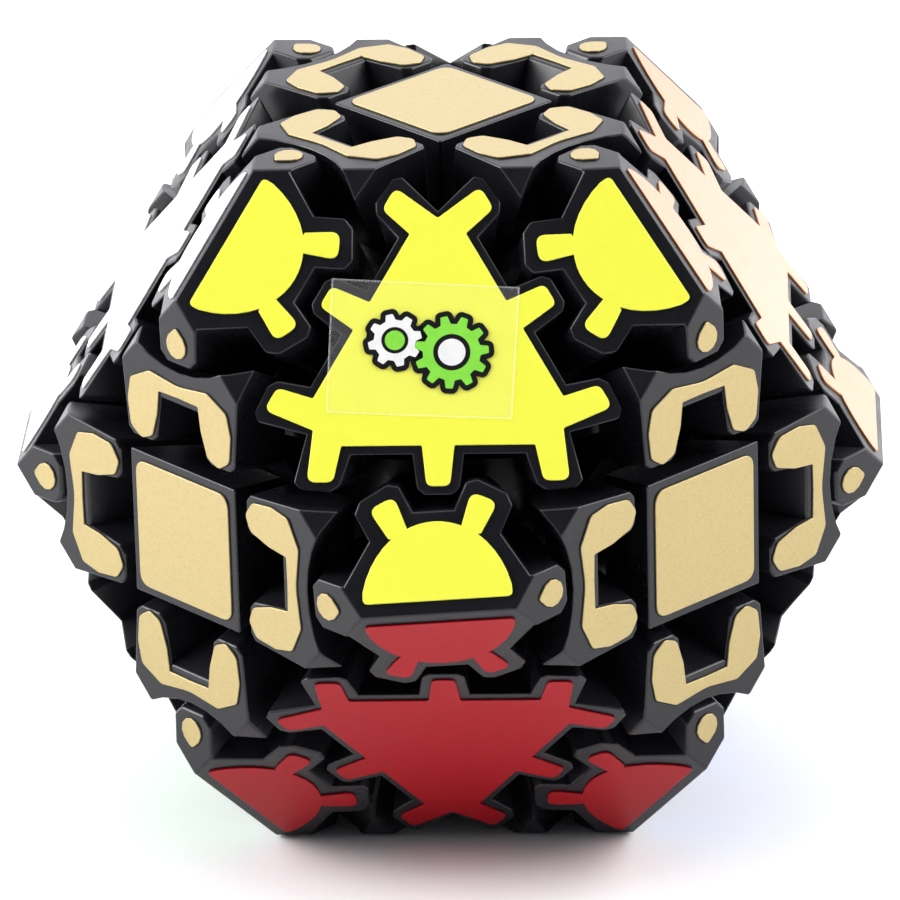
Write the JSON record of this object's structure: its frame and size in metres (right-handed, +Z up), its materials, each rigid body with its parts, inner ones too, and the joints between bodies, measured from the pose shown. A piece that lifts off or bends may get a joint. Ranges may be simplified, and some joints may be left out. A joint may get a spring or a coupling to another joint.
{
  "type": "gear-coupled twisty puzzle",
  "caption": "Hand-held twisty puzzle shaped as a truncated octahedron; bevel gears on the edge pieces mesh with toothed corners, so layers turn together.",
  "frame": {"origin": "centre of the core, where the three turning axes cross", "axes": "+Z up out of the top square face, +X out of the right square face, -Y out of the front square face; the puzzle stands on its -Z square face"},
  "size_m": [0.0702, 0.0702, 0.0701],
  "materials": {
    "black_plastic": "satin moulded ABS",
    "core_plastic": "moulded nylon",
    "screw_steel": "zinc plated",
    "spring_steel": "bright spring wire",
    "gold_film": "metallic flake vinyl",
    "yellow_vinyl": "fluorescent vinyl",
    "red_vinyl": "gloss vinyl",
    "white_vinyl": "gloss vinyl",
    "orange_vinyl": "gloss vinyl",
    "green_vinyl": "gloss vinyl",
    "blue_vinyl": "gloss vinyl",
    "purple_vinyl": "gloss vinyl",
    "pink_vinyl": "gloss vinyl",
    "clear_film": "thin clear film",
    "emblem_green": "printed ink",
    "emblem_black": "printed ink"
  },
  "bodies": {
    "bottom_layer": {"centre_body_bottom": "black_plastic", "centre_cap_bottom": "black_plastic", "edge_carrier_bottom_front": "black_plastic", "edge_gear_bottom_front": "black_plastic", "edge_carrier_bottom_back": "black_plastic", "edge_gear_bottom_back": "black_plastic", "edge_carrier_bottom_left": "black_plastic", "edge_gear_bottom_left": "black_plastic", "edge_carrier_bottom_right": "black_plastic", "edge_gear_bottom_right": "black_plastic", "corner_bottom_front_left": "black_plastic", "corner_bottom_front_right": "black_plastic", "corner_bottom_back_left": "black_plastic", "corner_bottom_back_right": "black_plastic"},
    "middle_layer": {"core": "core_plastic", "centre_screw_top": "screw_steel", "centre_spring_top": "spring_steel", "centre_screw_bottom": "screw_steel", "centre_spring_bottom": "spring_steel", "centre_body_front": "black_plastic", "centre_cap_front": "black_plastic", "centre_screw_front": "screw_steel", "centre_spring_front": "spring_steel", "centre_body_back": "black_plastic", "centre_cap_back": "black_plastic", "centre_screw_back": "screw_steel", "centre_spring_back": "spring_steel", "centre_body_right": "black_plastic", "centre_cap_right": "black_plastic", "centre_screw_right": "screw_steel", "centre_spring_right": "spring_steel", "centre_body_left": "black_plastic", "centre_cap_left": "black_plastic", "centre_screw_left": "screw_steel", "centre_spring_left": "spring_steel", "edge_carrier_front_left": "black_plastic", "edge_carrier_front_right": "black_plastic", "edge_carrier_back_left": "black_plastic", "edge_carrier_back_right": "black_plastic"},
    "top_layer": {"centre_body_top": "black_plastic", "centre_cap_top": "black_plastic", "edge_carrier_top_front": "black_plastic", "edge_gear_top_front": "black_plastic", "edge_carrier_top_back": "black_plastic", "edge_gear_top_back": "black_plastic", "edge_carrier_top_left": "black_plastic", "edge_gear_top_left": "black_plastic", "edge_carrier_top_right": "black_plastic", "edge_gear_top_right": "black_plastic", "corner_top_front_left": "black_plastic", "corner_top_front_right": "black_plastic", "corner_top_back_left": "black_plastic", "corner_top_back_right": "black_plastic"},
    "gear_front_left": {"edge_gear_front_left": "black_plastic"},
    "gear_front_right": {"edge_gear_front_right": "black_plastic"},
    "gear_back_left": {"edge_gear_back_left": "black_plastic"},
    "gear_back_right": {"edge_gear_back_right": "black_plastic"}
  },
  "joints": [
    {"name": "middle_turn", "type": "hinge", "parent": "bottom_layer", "child": "middle_layer", "pos_m": [0, 0, 0], "axis": [0, 0, 1], "continuous": true},
    {"name": "top_turn", "type": "hinge", "parent": "middle_layer", "child": "top_layer", "pos_m": [0, 0, 0], "axis": [0, 0, 1], "continuous": true},
    {"name": "gear_spin_front_left", "type": "hinge", "parent": "middle_layer", "child": "gear_front_left", "pos_m": [-0.0245, -0.0245, 0], "axis": [-0.7071, -0.7071, 0], "continuous": true},
    {"name": "gear_spin_front_right", "type": "hinge", "parent": "middle_layer", "child": "gear_front_right", "pos_m": [0.0245, -0.0245, 0], "axis": [0.7071, -0.7071, 0], "continuous": true},
    {"name": "gear_spin_back_left", "type": "hinge", "parent": "middle_layer", "child": "gear_back_left", "pos_m": [-0.0245, 0.0245, 0], "axis": [-0.7071, 0.7071, 0], "continuous": true},
    {"name": "gear_spin_back_right", "type": "hinge", "parent": "middle_layer", "child": "gear_back_right", "pos_m": [0.0245, 0.0245, 0], "axis": [0.7071, 0.7071, 0], "continuous": true}
  ],
  "couplings": [
    {"joint": "top_turn", "follows": "middle_turn", "ratio": 1},
    {"joint": "gear_spin_front_left", "follows": "middle_turn", "ratio": -3.3333},
    {"joint": "gear_spin_front_right", "follows": "middle_turn", "ratio": -3.3333},
    {"joint": "gear_spin_back_left", "follows": "middle_turn", "ratio": -3.3333},
    {"joint": "gear_spin_back_right", "follows": "middle_turn", "ratio": -3.3333}
  ]
}
